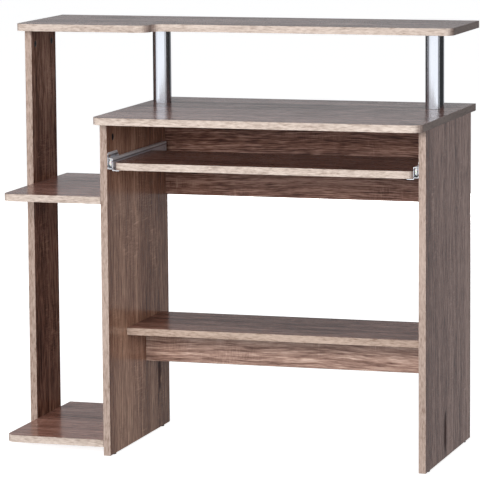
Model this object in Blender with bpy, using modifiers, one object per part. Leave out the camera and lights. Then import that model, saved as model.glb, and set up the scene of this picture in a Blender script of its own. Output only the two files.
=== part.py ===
"""Flat-pack computer desk with a raised shelf, a shelf stand and a keyboard tray on roller slides.

Run with: blender --background --python part.py
Metres, +X to the user's right, +Y away from the user, +Z up.
The origin is on the floor, under the middle of the whole desk.
"""
import math

import bmesh
import bpy
from mathutils import Vector

# ---------------------------------------------------------------- driving sizes
BOARD = 0.016                  # chipboard thickness, every board
GAP = 0.0003                   # hairline kept between pieces that touch
EDGE_ROUNDING = 0.0007         # softened board arrises
OVERCUT = 0.001                # how far a cutter runs past the face it enters by

GLIDE_HEIGHT = 0.003           # plastic glide under a standing board
GLIDE_RADIUS = 0.007
GLIDE_CHAMFER = 0.0008

DESK_WIDTH = 0.728             # over the outer faces of the two desk sides
SIDE_DEPTH = 0.410
SIDE_HEIGHT = 0.735

FRONT_OVERHANG = 0.062         # desktop past the front of the desk sides
BACK_OVERHANG = 0.030
RIGHT_OVERHANG = 0.004         # desktop past the right desk side
DESKTOP_CORNER = 0.028         # plan radius of the desktop's front corners

STAND_SPAN = 0.230             # shelf length between stand side and desk
STAND_SIDE_DEPTH = 0.153
STAND_SIDE_SETBACK = 0.197     # from the front of the desk sides
MIDDLE_SHELF_HEIGHT = 0.5725   # shelf top above the underside of the boards that stand
BOTTOM_SHELF_HEIGHT = 0.035
SHELF_CORNER = 0.022           # plan radius of shelf and tray corners

TUBE_RADIUS = 0.0205
TUBE_WALL = 0.0012
TUBE_LENGTH = 0.168
TUBE_SETBACK = 0.306           # tube axis behind the front of the desk sides
TUBE_LEFT_INSET = 0.041        # tube axis inside the outer face of the desk side
TUBE_RIGHT_INSET = 0.057
TOP_SHELF_DEPTH = 0.254
TOP_SHELF_OVERHANG = 0.007     # top shelf past the right end of the desktop
TOP_SHELF_STEP = 0.051         # extra depth of the top shelf over the stand
TOP_SHELF_STEP_INSET = 0.038   # start of the curved step, inside the left desk side's outer face

PANEL_HEIGHT = 0.203           # modesty panel at the back
LOWER_SHELF_SETBACK = 0.116
LOWER_SHELF_DEPTH = 0.241
LOWER_SHELF_HEIGHT = 0.2665    # shelf top above the underside of the boards that stand
STRETCHER_SETBACK = 0.245
STRETCHER_HEIGHT = 0.079

TRAY_DEPTH = 0.258
TRAY_SETBACK = 0.003
TRAY_SIDE_GAP = 0.0125         # room for one slide beside the tray
TRAY_DROP = 0.088              # desktop underside to tray top
TRAY_TRAVEL = 0.250

SHEET = 0.0012                 # slide steel
BEND = 0.0012                  # centreline bend radius of the slide steel
SLIDE_SETBACK = 0.003
SLIDE_BACK_CLEARANCE = 0.026   # rail end ahead of the back panel
CHANNEL_HEIGHT = 0.0195        # cabinet rail, outside
CHANNEL_CLEARANCE = 0.0005     # cabinet rail's flange edges to the tray rail's web
CHANNEL_DROP = 0.0040          # cabinet rail top below the tray rail top
CHANNEL_MOUTH = 0.026          # top flange cut back behind the front roller
EAR_LENGTH = 0.060             # raised fixing ear at the front of the cabinet rail
EAR_HEIGHT = 0.0165
EAR_LAP = 0.006                # ear's lower edge, below the channel's top
EAR_CORNER = 0.007
EAR_SCREW_SETBACK = 0.051
RAIL_BACK_SCREW_INSET = 0.060
SLOT_LENGTH = 0.012
SLOT_WIDTH = 0.007
SLOT_SETBACK = 0.014
TRAY_RAIL_RISE = 0.0095        # tray rail top above the tray top
TRAY_RAIL_REACH = 0.0028       # outer edge of the tray rail's top flange, from the board face
TRAY_RAIL_FOOT = 0.014         # flange under the tray
TRAY_SCREW_REACH = 0.0077      # screw axis in from the tray's side
TRAY_SCREW_INSET = 0.040       # from the tray's front and back edges
ROLLER_CROWN = 0.0005
FRONT_ROLLER_STANDOFF = 0.0025
REAR_ROLLER_STANDOFF = 0.0006
AXLE_HEAD_CLEARANCE = 0.0007   # rivet head to the tray rail's web
FRONT_ROLLER_RADIUS = 0.0088
FRONT_ROLLER_SETBACK = 0.010   # roller axis behind the rail's front end
REAR_ROLLER_INSET = 0.014      # roller axis ahead of the rail's back end
ROLLER_CLEARANCE = 0.0002      # roller to the steel that it runs on
AXLE_RADIUS = 0.0022
AXLE_HEAD_RADIUS = 0.0040
AXLE_HEAD = 0.0008
STOP_TAB = 0.0035              # stop tab hanging from the channel's top flange
STOP_TAB_STANDOFF = 0.002
STOP_TAB_OVERTRAVEL = 0.0012   # tab past the point that the roller's rim reaches

CAM_RADIUS = 0.0075
CAM_END_CLEARANCE = 0.0006     # bolt head to the inner end of the cam
CAM_POCKET_SLACK = 0.0003
CAM_SLOT_LENGTH = 0.007
CAM_SLOT_WIDTH = 0.0012
CAM_SLOT_DEPTH = 0.0018
CAM_DROP = 0.035               # cam centre below the top edge of its board
CAM_BOLT_RADIUS = 0.0028
CAM_BOLT_BITE = 0.011          # bolt length in the board above
CAM_BOLT_HEAD_RADIUS = 0.0034
CAM_LENGTH = BOARD / 2 + CAM_BOLT_HEAD_RADIUS + CAM_END_CLEARANCE   # bolt in mid board
CAM_BOLT_NECK_RADIUS = 0.0018
CAM_BOLT_NECK = 0.0050         # neck length above the ball
DESK_CAM_INSET = 0.040         # from the front and back edges of a desk side
STAND_CAM_INSET = 0.025

STUD_RADIUS = 0.0030
STUD_BITE = 0.011              # stud length in the top shelf
STUD_IN_PLUG = 0.012
PLUG_DEPTH = 0.014
STUD_CHAMFER = 0.0015
BOLT_HEAD_RADIUS = 0.0060
BOLT_HEAD = 0.0028

SCREW_RADIUS = 0.0017
SCREW_BITE = 0.011
SCREW_HEAD_RADIUS = 0.0036
SCREW_HEAD = 0.0016
HOLE_SLACK = 0.0003            # every screw, bolt and stud in its hole

ROUND = 32                     # sides of a round piece
ARC = 8                        # steps in a rounded corner

# ---------------------------------------------------------------- derived places
WIDTH = BOARD + STAND_SPAN + DESK_WIDTH + RIGHT_OVERHANG + TOP_SHELF_OVERHANG
DEPTH = FRONT_OVERHANG + SIDE_DEPTH + BACK_OVERHANG
STAND_OUTER = -WIDTH / 2
STAND_INNER = STAND_OUTER + BOARD
DESK_LEFT = STAND_INNER + STAND_SPAN
DESK_RIGHT = DESK_LEFT + DESK_WIDTH
INNER_LEFT = DESK_LEFT + BOARD
INNER_RIGHT = DESK_RIGHT - BOARD
DESKTOP_RIGHT = DESK_RIGHT + RIGHT_OVERHANG
TOP_SHELF_RIGHT = WIDTH / 2
TOP_FRONT = -DEPTH / 2
TOP_BACK = DEPTH / 2
SIDE_FRONT = TOP_FRONT + FRONT_OVERHANG
SIDE_BACK = SIDE_FRONT + SIDE_DEPTH

FOOT = GLIDE_HEIGHT + GAP      # underside of every board that stands
SIDE_TOP = FOOT + SIDE_HEIGHT
DESKTOP_BOTTOM = SIDE_TOP + GAP
DESKTOP_TOP = DESKTOP_BOTTOM + BOARD
TUBE_BOTTOM = DESKTOP_TOP + GAP
TUBE_TOP = TUBE_BOTTOM + TUBE_LENGTH
TOP_SHELF_BOTTOM = TUBE_TOP + GAP
TOP_SHELF_TOP = TOP_SHELF_BOTTOM + BOARD
STAND_SIDE_TOP = TOP_SHELF_BOTTOM - GAP
TUBE_Y = SIDE_FRONT + TUBE_SETBACK
TUBE_X = {"left": DESK_LEFT + TUBE_LEFT_INSET, "right": DESK_RIGHT - TUBE_RIGHT_INSET}
STAND_SIDE_FRONT = SIDE_FRONT + STAND_SIDE_SETBACK
STAND_SIDE_BACK = STAND_SIDE_FRONT + STAND_SIDE_DEPTH
DESK_FIXING_Y = {"front": SIDE_FRONT + DESK_CAM_INSET, "back": SIDE_BACK - DESK_CAM_INSET}
STAND_FIXING_Y = {"front": STAND_SIDE_FRONT + STAND_CAM_INSET, "back": STAND_SIDE_BACK - STAND_CAM_INSET}

TRAY_TOP = DESKTOP_BOTTOM - TRAY_DROP
TRAY_BOTTOM = TRAY_TOP - BOARD
TRAY_FRONT = SIDE_FRONT + TRAY_SETBACK
TRAY_BACK = TRAY_FRONT + TRAY_DEPTH
TRAY_LEFT = INNER_LEFT + TRAY_SIDE_GAP
TRAY_RIGHT = INNER_RIGHT - TRAY_SIDE_GAP

RAIL_FRONT = SIDE_FRONT + SLIDE_SETBACK
RAIL_BACK = SIDE_BACK - BOARD - SLIDE_BACK_CLEARANCE
TRAY_RAIL_TOP = TRAY_TOP + TRAY_RAIL_RISE
TRAY_RAIL_BOTTOM = TRAY_BOTTOM - GAP - SHEET
CHANNEL_TOP = TRAY_RAIL_TOP - CHANNEL_DROP
CHANNEL_BOTTOM = CHANNEL_TOP - CHANNEL_HEIGHT
FRONT_ROLLER_Y = RAIL_FRONT + FRONT_ROLLER_SETBACK
FRONT_ROLLER_Z = TRAY_RAIL_TOP - SHEET - ROLLER_CLEARANCE - FRONT_ROLLER_RADIUS
REAR_ROLLER_RADIUS = CHANNEL_HEIGHT / 2 - SHEET - ROLLER_CLEARANCE
REAR_ROLLER_Y = RAIL_BACK - REAR_ROLLER_INSET
REAR_ROLLER_Z = CHANNEL_BOTTOM + CHANNEL_HEIGHT / 2

# Distances across one slide, measured from the desk side's inner face towards the tray.
WEB_OUTER = GAP
WEB_INNER = WEB_OUTER + SHEET
TRAY_WEB_INNER = TRAY_SIDE_GAP - GAP
TRAY_WEB_OUTER = TRAY_WEB_INNER - SHEET
CHANNEL_REACH = TRAY_WEB_OUTER - CHANNEL_CLEARANCE
FRONT_ROLLER_NEAR = WEB_INNER + FRONT_ROLLER_STANDOFF
FRONT_ROLLER_FAR = TRAY_WEB_OUTER - AXLE_HEAD_CLEARANCE - AXLE_HEAD - GAP
ROLLER_WIDTH = FRONT_ROLLER_FAR - FRONT_ROLLER_NEAR
REAR_ROLLER_FAR = TRAY_WEB_OUTER - REAR_ROLLER_STANDOFF
REAR_ROLLER_NEAR = REAR_ROLLER_FAR - ROLLER_WIDTH
SLIDES = {"left": (INNER_LEFT, 1), "right": (INNER_RIGHT, -1)}


# ---------------------------------------------------------------- scene and materials
def start_scene():
    """Empty the scene and make the two collections."""
    for old in list(bpy.data.objects):
        bpy.data.objects.remove(old, do_unlink=True)
    parts = bpy.data.collections.new("computer_desk")
    cutters = bpy.data.collections.new("cutters")
    for group in (parts, cutters):
        bpy.context.scene.collection.children.link(group)
    cutters.hide_render = True
    return parts, cutters


PARTS, CUTTERS = start_scene()


def material(name, colour, roughness, metallic):
    """One finish, with the same colour in the solid view."""
    made = bpy.data.materials.new(name)
    made.use_nodes = True
    shader = made.node_tree.nodes["Principled BSDF"]
    shader.inputs["Base Color"].default_value = (*colour, 1.0)
    shader.inputs["Roughness"].default_value = roughness
    shader.inputs["Metallic"].default_value = metallic
    made.diffuse_color = (*colour, 1.0)
    return made


OAK = material("grey_oak_board", (0.24, 0.19, 0.16), 0.42, 0.0)
ALUMINIUM = material("satin_aluminium", (0.62, 0.63, 0.66), 0.32, 1.0)
COATED_STEEL = material("coated_steel", (0.70, 0.70, 0.72), 0.38, 0.6)
ZINC = material("zinc", (0.45, 0.45, 0.46), 0.40, 1.0)
NYLON = material("white_nylon", (0.82, 0.82, 0.80), 0.45, 0.0)
BLACK_PLASTIC = material("black_plastic", (0.03, 0.03, 0.03), 0.5, 0.0)


# ---------------------------------------------------------------- shape helpers
def add_object(name, mesh, finish, centre=(0, 0, 0), turn=(0, 0, 0), parent=None):
    """Put a mesh in the parts collection at its place; the place stays on the object."""
    made = bpy.data.objects.new(name, mesh)
    PARTS.objects.link(made)
    made.location = centre
    made.rotation_euler = turn
    mesh.materials.clear()
    mesh.materials.append(finish)
    if parent is not None:
        bpy.context.view_layer.update()
        made.parent = parent
        made.matrix_parent_inverse = parent.matrix_world.inverted()
    return made


def box_mesh(name, size):
    body = bmesh.new()
    bmesh.ops.create_cube(body, size=1.0)
    bmesh.ops.scale(body, vec=size, verts=body.verts)
    mesh = bpy.data.meshes.new(name)
    body.to_mesh(mesh)
    body.free()
    return mesh


def round_mesh(name, radius, length):
    """Cylinder along its own Z, centred on its origin."""
    body = bmesh.new()
    bmesh.ops.create_cone(body, cap_ends=True, segments=ROUND, radius1=radius, radius2=radius,
                          depth=length)
    mesh = bpy.data.meshes.new(name)
    body.to_mesh(mesh)
    body.free()
    return mesh


def soften(target):
    rounding = target.modifiers.new("soft_edges", "BEVEL")
    rounding.width = EDGE_ROUNDING
    rounding.segments = 2
    rounding.limit_method = "ANGLE"
    rounding.angle_limit = math.radians(60)


def arc_points(centre, radius, start, end):
    """Points on an arc from start to end degrees, both ends included."""
    turns = [math.radians(start + (end - start) * step / ARC) for step in range(ARC + 1)]
    return [(centre[0] + radius * math.cos(turn), centre[1] + radius * math.sin(turn)) for turn in turns]


def outline_mesh(name, loops, thickness):
    """Flat outline with holes, filled and extruded, then made a welded mesh in its own XY plane."""
    curve = bpy.data.curves.new(name, "CURVE")
    curve.dimensions = "2D"
    curve.fill_mode = "BOTH"
    curve.extrude = thickness / 2
    for loop in loops:
        spline = curve.splines.new("POLY")
        spline.points.add(len(loop) - 1)
        for point, (x, y) in zip(spline.points, loop):
            point.co = (x, y, 0, 1)
        spline.use_cyclic_u = True
    holder = bpy.data.objects.new(name, curve)
    PARTS.objects.link(holder)
    graph = bpy.context.evaluated_depsgraph_get()
    graph.update()
    mesh = bpy.data.meshes.new_from_object(holder.evaluated_get(graph))
    bpy.data.objects.remove(holder, do_unlink=True)
    bpy.data.curves.remove(curve)
    body = bmesh.new()
    body.from_mesh(mesh)
    bmesh.ops.remove_doubles(body, verts=body.verts, dist=1e-6)
    bmesh.ops.recalc_face_normals(body, faces=body.faces)
    body.to_mesh(mesh)
    body.free()
    mesh.name = name
    return mesh


def smooth(target):
    target.data.shade_smooth()
    target.data.set_sharp_from_angle(angle=math.radians(35))


def cut(target, tool, operation="DIFFERENCE"):
    """Keep a Boolean on the target; its tool goes to the cutters collection."""
    for group in list(tool.users_collection):
        group.objects.unlink(tool)
    CUTTERS.objects.link(tool)
    tool.display_type = "WIRE"
    tool.hide_render = True
    step = target.modifiers.new(operation.lower(), "BOOLEAN")
    step.operation = operation
    step.solver = "EXACT"
    step.object = tool


AXIS_TURN = {"X": (0, math.pi / 2, 0), "Y": (-math.pi / 2, 0, 0), "Z": (0, 0, 0)}


def drill(target, centre, axis, radius, start, end):
    """Round hole along an axis between two coordinates on that axis."""
    place = list(centre)
    index = "XYZ".index(axis)
    place[index] = (start + end) / 2
    mesh = round_mesh(f"{target.name}_hole", radius, abs(end - start))
    cut(target, add_object(f"{target.name}_hole", mesh, ZINC, place, AXIS_TURN[axis]))


def cut_box(target, low, high, operation="DIFFERENCE"):
    size = [b - a for a, b in zip(low, high)]
    centre = [(a + b) / 2 for a, b in zip(low, high)]
    name = f"{target.name}_{operation.lower()}_block"
    cut(target, add_object(name, box_mesh(name, size), ZINC, centre), operation)


def board(name, low, high, parent=None):
    """Square-cornered board between two opposite corners."""
    size = [b - a for a, b in zip(low, high)]
    centre = [(a + b) / 2 for a, b in zip(low, high)]
    made = add_object(name, box_mesh(name, size), OAK, centre, parent=parent)
    soften(made)
    return made


def front_corner(x, y, radius, hand):
    """Outline points of a front corner at (x, y); hand is -1 on the left and 1 on the right."""
    if not radius:
        return [(x, y)]
    start = 225 + 45 * hand
    return arc_points((x - hand * radius, y + radius), radius, start, start + 90)


def shaped_board(name, outline, low, high, parent=None):
    """Level board with a plan outline in world X and Y, between the heights of two corners."""
    centre = [(a + b) / 2 for a, b in zip(low, high)]
    local = [(x - centre[0], y - centre[1]) for x, y in outline]
    made = add_object(name, outline_mesh(name, [local], high[2] - low[2]), OAK, centre, parent=parent)
    soften(made)
    smooth(made)
    return made


def rounded_board(name, low, high, left_radius, right_radius, parent=None):
    """Level board whose front corners are rounded in plan; a radius of 0 leaves a square corner."""
    outline = [(high[0], high[1]), (low[0], high[1])]
    outline += front_corner(low[0], low[1], left_radius, -1)
    outline += front_corner(high[0], low[1], right_radius, 1)
    return shaped_board(name, outline, low, high, parent)


def turned(name, profile, centre, axis, finish, parent=None):
    """Solid of revolution: profile is (radius, height) from top to bottom, both ends on the axis
    or closed on itself for a ring."""
    body = bmesh.new()
    verts = [body.verts.new((radius, 0, height)) for radius, height in profile]
    for first, second in zip(verts, verts[1:]):
        body.edges.new((first, second))
    if profile[0][0] > 0:
        body.edges.new((verts[-1], verts[0]))
    mesh = bpy.data.meshes.new(name)
    body.to_mesh(mesh)
    body.free()
    made = add_object(name, mesh, finish, centre, AXIS_TURN[axis], parent)
    screw = made.modifiers.new("turned", "SCREW")
    screw.axis = "Z"
    screw.steps = ROUND
    screw.render_steps = ROUND
    screw.use_merge_vertices = True
    screw.merge_threshold = 0.00001
    screw.use_smooth_shade = False
    return made


def flipped(profile, way):
    """Turned profile facing the other way along its axis, still listed from top to bottom."""
    if way > 0:
        return profile
    return [(radius, -height) for radius, height in reversed(profile)]


# ---------------------------------------------------------------- fixing pieces
def pan_screw(name, centre, axis, way, radius, head_radius, head, length, parent=None):
    """Round-headed screw. centre is the face under the head; way is the side the head is on."""
    shoulder = 0.35 * head
    profile = [(0, head), (0.55 * head_radius, head), (head_radius, shoulder), (head_radius, GAP),
               (radius, GAP), (radius, -length + radius), (0, -length)]
    return turned(name, flipped(profile, way), centre, axis, ZINC, parent)


def cam_lock(name, centre, way):
    """Cam disc lying along X in its pocket, open on top for the bolt's head, with a cross slot."""
    disc = turned(name, [(0, CAM_LENGTH / 2), (CAM_RADIUS, CAM_LENGTH / 2),
                         (CAM_RADIUS, -CAM_LENGTH / 2), (0, -CAM_LENGTH / 2)], centre, "X", ZINC)
    face = centre[0] + way * CAM_LENGTH / 2
    low_x, high_x = sorted((face - way * CAM_SLOT_DEPTH, face + way * OVERCUT))
    half_long = CAM_SLOT_LENGTH / 2
    half_wide = CAM_SLOT_WIDTH / 2
    for wide, tall in ((half_long, half_wide), (half_wide, half_long)):
        cut_box(disc, (low_x, centre[1] - wide, centre[2] - tall),
                (high_x, centre[1] + wide, centre[2] + tall))
    reach = CAM_BOLT_HEAD_RADIUS + HOLE_SLACK
    board_middle = centre[0] + way * (CAM_POCKET_SLACK - (BOARD - CAM_LENGTH) / 2)
    cut_box(disc, (board_middle - reach, centre[1] - reach, centre[2] - reach),
            (board_middle + reach, centre[1] + reach, centre[2] + 2 * CAM_RADIUS))
    return disc


def cam_joint(host, above, label, face_x, way, y, board_top):
    """Cam in the host board's face, and its bolt up into the board above."""
    z = board_top - CAM_DROP
    pocket_end = face_x - way * (CAM_LENGTH + 2 * CAM_POCKET_SLACK)
    drill(host, (0, y, z), "X", CAM_RADIUS + CAM_POCKET_SLACK, pocket_end, face_x + way * OVERCUT)
    middle = face_x - way * BOARD / 2
    drill(host, (middle, y, 0), "Z", CAM_BOLT_HEAD_RADIUS + HOLE_SLACK, z, board_top + OVERCUT)
    bite_top = board_top + GAP + CAM_BOLT_BITE
    drill(above, (middle, y, 0), "Z", CAM_BOLT_RADIUS + HOLE_SLACK, board_top - OVERCUT,
          bite_top + HOLE_SLACK)
    cam_lock(f"cam_lock_{label}", (face_x - way * (CAM_POCKET_SLACK + CAM_LENGTH / 2), y, z), way)
    ball = CAM_BOLT_HEAD_RADIUS
    top = bite_top - z
    taper = CAM_BOLT_RADIUS - CAM_BOLT_NECK_RADIUS
    profile = [(0, top), (CAM_BOLT_NECK_RADIUS, top), (CAM_BOLT_RADIUS, top - taper),
               (CAM_BOLT_RADIUS, ball + CAM_BOLT_NECK + taper), (CAM_BOLT_NECK_RADIUS, ball + CAM_BOLT_NECK),
               (CAM_BOLT_NECK_RADIUS, 0.7 * ball), (ball, 0.3 * ball), (ball, -0.3 * ball),
               (0.5 * ball, -ball), (0, -ball)]
    turned(f"cam_bolt_{label}", profile, (middle, y, z + GAP), "Z", ZINC)


def glide(name, x, y):
    """Plastic glide under a standing board."""
    profile = [(0, GLIDE_HEIGHT), (GLIDE_RADIUS, GLIDE_HEIGHT), (GLIDE_RADIUS, GLIDE_CHAMFER),
               (GLIDE_RADIUS - GLIDE_CHAMFER, 0), (0, 0)]
    return turned(name, profile, (x, y, 0), "Z", BLACK_PLASTIC)


# ---------------------------------------------------------------- boards
def make_desk_sides():
    sides = {}
    for label, outer, inner in (("left", DESK_LEFT, INNER_LEFT), ("right", DESK_RIGHT, INNER_RIGHT)):
        low_x, high_x = sorted((outer, inner))
        sides[label] = board(f"desk_side_{label}", (low_x, SIDE_FRONT, FOOT), (high_x, SIDE_BACK, SIDE_TOP))
        for place, y in DESK_FIXING_Y.items():
            glide(f"glide_desk_{label}_{place}", (outer + inner) / 2, y)
    return sides


def make_desktop():
    return rounded_board("desktop", (DESK_LEFT, TOP_FRONT, DESKTOP_BOTTOM),
                         (DESKTOP_RIGHT, TOP_BACK, DESKTOP_TOP), DESKTOP_CORNER, DESKTOP_CORNER)


def make_top_shelf():
    """Raised shelf, deeper over the stand; an S of two quarter arcs joins the two depths."""
    front = TOP_BACK - TOP_SHELF_DEPTH
    deep_front = front - TOP_SHELF_STEP
    bend = TOP_SHELF_STEP / 2
    step_x = DESK_LEFT + TOP_SHELF_STEP_INSET
    outline = [(TOP_SHELF_RIGHT, TOP_BACK), (STAND_OUTER, TOP_BACK)]
    outline += front_corner(STAND_OUTER, deep_front, SHELF_CORNER, -1)
    outline += front_corner(step_x + bend, deep_front, bend, 1)
    outline += arc_points((step_x + 2 * bend, deep_front + bend), bend, 180, 90)[1:]
    outline += front_corner(TOP_SHELF_RIGHT, front, SHELF_CORNER, 1)
    return shaped_board("top_shelf", outline, (STAND_OUTER, deep_front, TOP_SHELF_BOTTOM),
                        (TOP_SHELF_RIGHT, TOP_BACK, TOP_SHELF_TOP))


def make_stand():
    side = board("stand_side", (STAND_OUTER, STAND_SIDE_FRONT, FOOT),
                 (STAND_INNER, STAND_SIDE_BACK, STAND_SIDE_TOP))
    for place, y in STAND_FIXING_Y.items():
        glide(f"glide_stand_{place}", (STAND_OUTER + STAND_INNER) / 2, y)
    for name, top in (("stand_middle_shelf", FOOT + MIDDLE_SHELF_HEIGHT),
                      ("stand_bottom_shelf", FOOT + BOTTOM_SHELF_HEIGHT)):
        rounded_board(name, (STAND_INNER + GAP, SIDE_FRONT, top - BOARD),
                      (DESK_LEFT - GAP, SIDE_BACK, top), SHELF_CORNER, 0)
    return side


def make_cross_boards():
    """The boards that run between the two desk sides."""
    left = INNER_LEFT + GAP
    right = INNER_RIGHT - GAP
    board("back_panel", (left, SIDE_BACK - BOARD, SIDE_TOP - PANEL_HEIGHT), (right, SIDE_BACK, SIDE_TOP))
    shelf_front = SIDE_FRONT + LOWER_SHELF_SETBACK
    shelf_top = FOOT + LOWER_SHELF_HEIGHT
    board("lower_shelf", (left, shelf_front, shelf_top - BOARD),
          (right, shelf_front + LOWER_SHELF_DEPTH, shelf_top))
    rail_front = SIDE_FRONT + STRETCHER_SETBACK
    rail_top = shelf_top - BOARD - GAP
    board("lower_stretcher", (left, rail_front, rail_top - STRETCHER_HEIGHT),
          (right, rail_front + BOARD, rail_top))


# ---------------------------------------------------------------- tubes
def make_tube(label, desktop, top_shelf):
    """Aluminium post with a plug in each end, held from below by a bolt and above by a stud."""
    x = TUBE_X[label]
    bore = TUBE_RADIUS - TUBE_WALL
    half = TUBE_LENGTH / 2
    middle = (TUBE_BOTTOM + TUBE_TOP) / 2
    ring = [(TUBE_RADIUS, half), (TUBE_RADIUS, -half), (bore, -half), (bore, half)]
    smooth(turned(f"tube_{label}", ring, (x, TUBE_Y, middle), "Z", ALUMINIUM))
    hole = STUD_RADIUS + HOLE_SLACK
    rim = bore - HOLE_SLACK
    plug = [(rim, PLUG_DEPTH / 2), (rim, -PLUG_DEPTH / 2), (hole, -PLUG_DEPTH / 2), (hole, PLUG_DEPTH / 2)]
    for end, z in (("lower", TUBE_BOTTOM + PLUG_DEPTH / 2), ("upper", TUBE_TOP - PLUG_DEPTH / 2)):
        turned(f"tube_plug_{label}_{end}", plug, (x, TUBE_Y, z), "Z", BLACK_PLASTIC)
    drill(desktop, (x, TUBE_Y, 0), "Z", hole, DESKTOP_BOTTOM - OVERCUT,
          DESKTOP_TOP + OVERCUT)
    pan_screw(f"tube_bolt_{label}", (x, TUBE_Y, DESKTOP_BOTTOM), "Z", -1, STUD_RADIUS, BOLT_HEAD_RADIUS,
              BOLT_HEAD, BOARD + GAP + STUD_IN_PLUG)
    stud_top = TOP_SHELF_BOTTOM + STUD_BITE
    drill(top_shelf, (x, TUBE_Y, 0), "Z", hole, TOP_SHELF_BOTTOM - OVERCUT,
          stud_top + HOLE_SLACK)
    stud_half = (stud_top - (TUBE_TOP - STUD_IN_PLUG)) / 2
    tip = STUD_RADIUS - STUD_CHAMFER
    stud = [(0, stud_half), (tip, stud_half), (STUD_RADIUS, stud_half - STUD_CHAMFER),
            (STUD_RADIUS, -stud_half + STUD_CHAMFER), (tip, -stud_half), (0, -stud_half)]
    turned(f"tube_stud_{label}", stud, (x, TUBE_Y, stud_top - stud_half), "Z", ZINC)


# ---------------------------------------------------------------- tray and slides
def sheet_outline(path, thickness, radius):
    """Outline of a bent strip: the centreline's corners become arcs, then it is offset both ways."""
    centre = [Vector(path[0])]
    for before, corner, after in zip(path, path[1:], path[2:]):
        corner = Vector(corner)
        back = (Vector(before) - corner).normalized()
        ahead = (Vector(after) - corner).normalized()
        for step in range(5):
            # quarter bend as a smooth blend from one leg to the other
            turn = math.radians(22.5 * step)
            centre.append(corner + radius * ((1 - math.sin(turn)) * back + (1 - math.cos(turn)) * ahead))
    centre.append(Vector(path[-1]))
    near = []
    far = []
    for index, point in enumerate(centre):
        before = centre[max(index - 1, 0)]
        after = centre[min(index + 1, len(centre) - 1)]
        along = (after - before).normalized()
        across = Vector((-along.y, along.x)) * thickness / 2
        near.append(tuple(point + across))
        far.append(tuple(point - across))
    return near + far[::-1]


def rail_strip(name, path, side, front, back, parent=None):
    """Bent steel strip running along Y; path is (distance from the board face, height)."""
    face, way = SLIDES[side]
    placed = [(face + way * across, height) for across, height in path]
    outline = sheet_outline(placed, SHEET, BEND)
    middle = (front + back) / 2
    mesh = outline_mesh(name, [outline], back - front)
    return add_object(name, mesh, COATED_STEEL, (0, middle, 0), (math.pi / 2, 0, 0), parent)


def make_cabinet_rail(side):
    """C channel screwed to the desk side, with a slotted ear, a stop tab and an open mouth in front."""
    face, way = SLIDES[side]
    half = SHEET / 2
    web = WEB_OUTER + half
    low = CHANNEL_BOTTOM + half
    high = CHANNEL_TOP - half
    path = [(CHANNEL_REACH, low), (web, low), (web, high), (CHANNEL_REACH, high)]
    rail = rail_strip(f"cabinet_rail_{side}", path, side, RAIL_FRONT, RAIL_BACK)
    low_x, high_x = sorted((face + way * (WEB_INNER + BEND), face + way * (CHANNEL_REACH + OVERCUT)))
    cut_box(rail, (low_x, RAIL_FRONT - OVERCUT, CHANNEL_TOP - 2 * SHEET),
            (high_x, RAIL_FRONT + CHANNEL_MOUTH, CHANNEL_TOP + OVERCUT))
    ear_top = CHANNEL_TOP + EAR_HEIGHT
    ear_bottom = CHANNEL_TOP - EAR_LAP
    ear_back = RAIL_FRONT + EAR_LENGTH
    outline = [(RAIL_FRONT, ear_bottom), (ear_back + EAR_HEIGHT, ear_bottom),
               (ear_back + EAR_HEIGHT, CHANNEL_TOP), (ear_back, ear_top)]
    outline += arc_points((RAIL_FRONT + EAR_CORNER, ear_top - EAR_CORNER), EAR_CORNER, 90, 180)
    slot_z = CHANNEL_TOP + EAR_HEIGHT / 2
    run = (SLOT_LENGTH - SLOT_WIDTH) / 2
    slot = arc_points((RAIL_FRONT + SLOT_SETBACK + run, slot_z), SLOT_WIDTH / 2, -90, 90)
    slot += arc_points((RAIL_FRONT + SLOT_SETBACK - run, slot_z), SLOT_WIDTH / 2, 90, 270)
    ear = add_object(f"{rail.name}_ear", outline_mesh("ear", [outline, slot], SHEET), COATED_STEEL,
                     (face + way * web, 0, 0), (math.pi / 2, 0, math.pi / 2))
    cut(rail, ear, "UNION")
    tab_back = REAR_ROLLER_Y - TRAY_TRAVEL - REAR_ROLLER_RADIUS + STOP_TAB_OVERTRAVEL
    low_x, high_x = sorted((face + way * (WEB_INNER + STOP_TAB_STANDOFF), face + way * CHANNEL_REACH))
    cut_box(rail, (low_x, tab_back - SHEET, CHANNEL_TOP - STOP_TAB - SHEET),
            (high_x, tab_back, CHANNEL_TOP - half), "UNION")
    for label, y, z in (("front", RAIL_FRONT + EAR_SCREW_SETBACK, slot_z),
                        ("back", RAIL_BACK - RAIL_BACK_SCREW_INSET, REAR_ROLLER_Z)):
        place = (face + way * WEB_INNER, y, z)
        hole = SCREW_RADIUS + HOLE_SLACK
        drill(rail, place, "X", hole, face - way * OVERCUT, face + way * (WEB_INNER + OVERCUT))
        drill(bpy.data.objects[f"desk_side_{side}"], place, "X", hole, face + way * OVERCUT,
              face - way * (SCREW_BITE - WEB_INNER + HOLE_SLACK))
        pan_screw(f"cabinet_rail_screw_{side}_{label}", place, "X", way, SCREW_RADIUS, SCREW_HEAD_RADIUS,
                  SCREW_HEAD, SCREW_BITE)
    drill(rail, (0, FRONT_ROLLER_Y, FRONT_ROLLER_Z), "X", AXLE_RADIUS + HOLE_SLACK, face - way * OVERCUT,
          face + way * (WEB_INNER + OVERCUT))
    return rail


def make_roller(name, side, near, far, radius, y, z, parent):
    """Nylon wheel with a crowned rim and a bore for its rivet."""
    face, way = SLIDES[side]
    half = (far - near) / 2
    bore = AXLE_RADIUS + ROLLER_CLEARANCE
    crown = ROLLER_CROWN
    profile = [(radius - crown, half), (radius, half - crown), (radius, -half + crown),
               (radius - crown, -half), (bore, -half), (bore, half)]
    centre = (face + way * (near + far) / 2, y, z)
    smooth(turned(name, profile, centre, "X", NYLON, parent))


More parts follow.
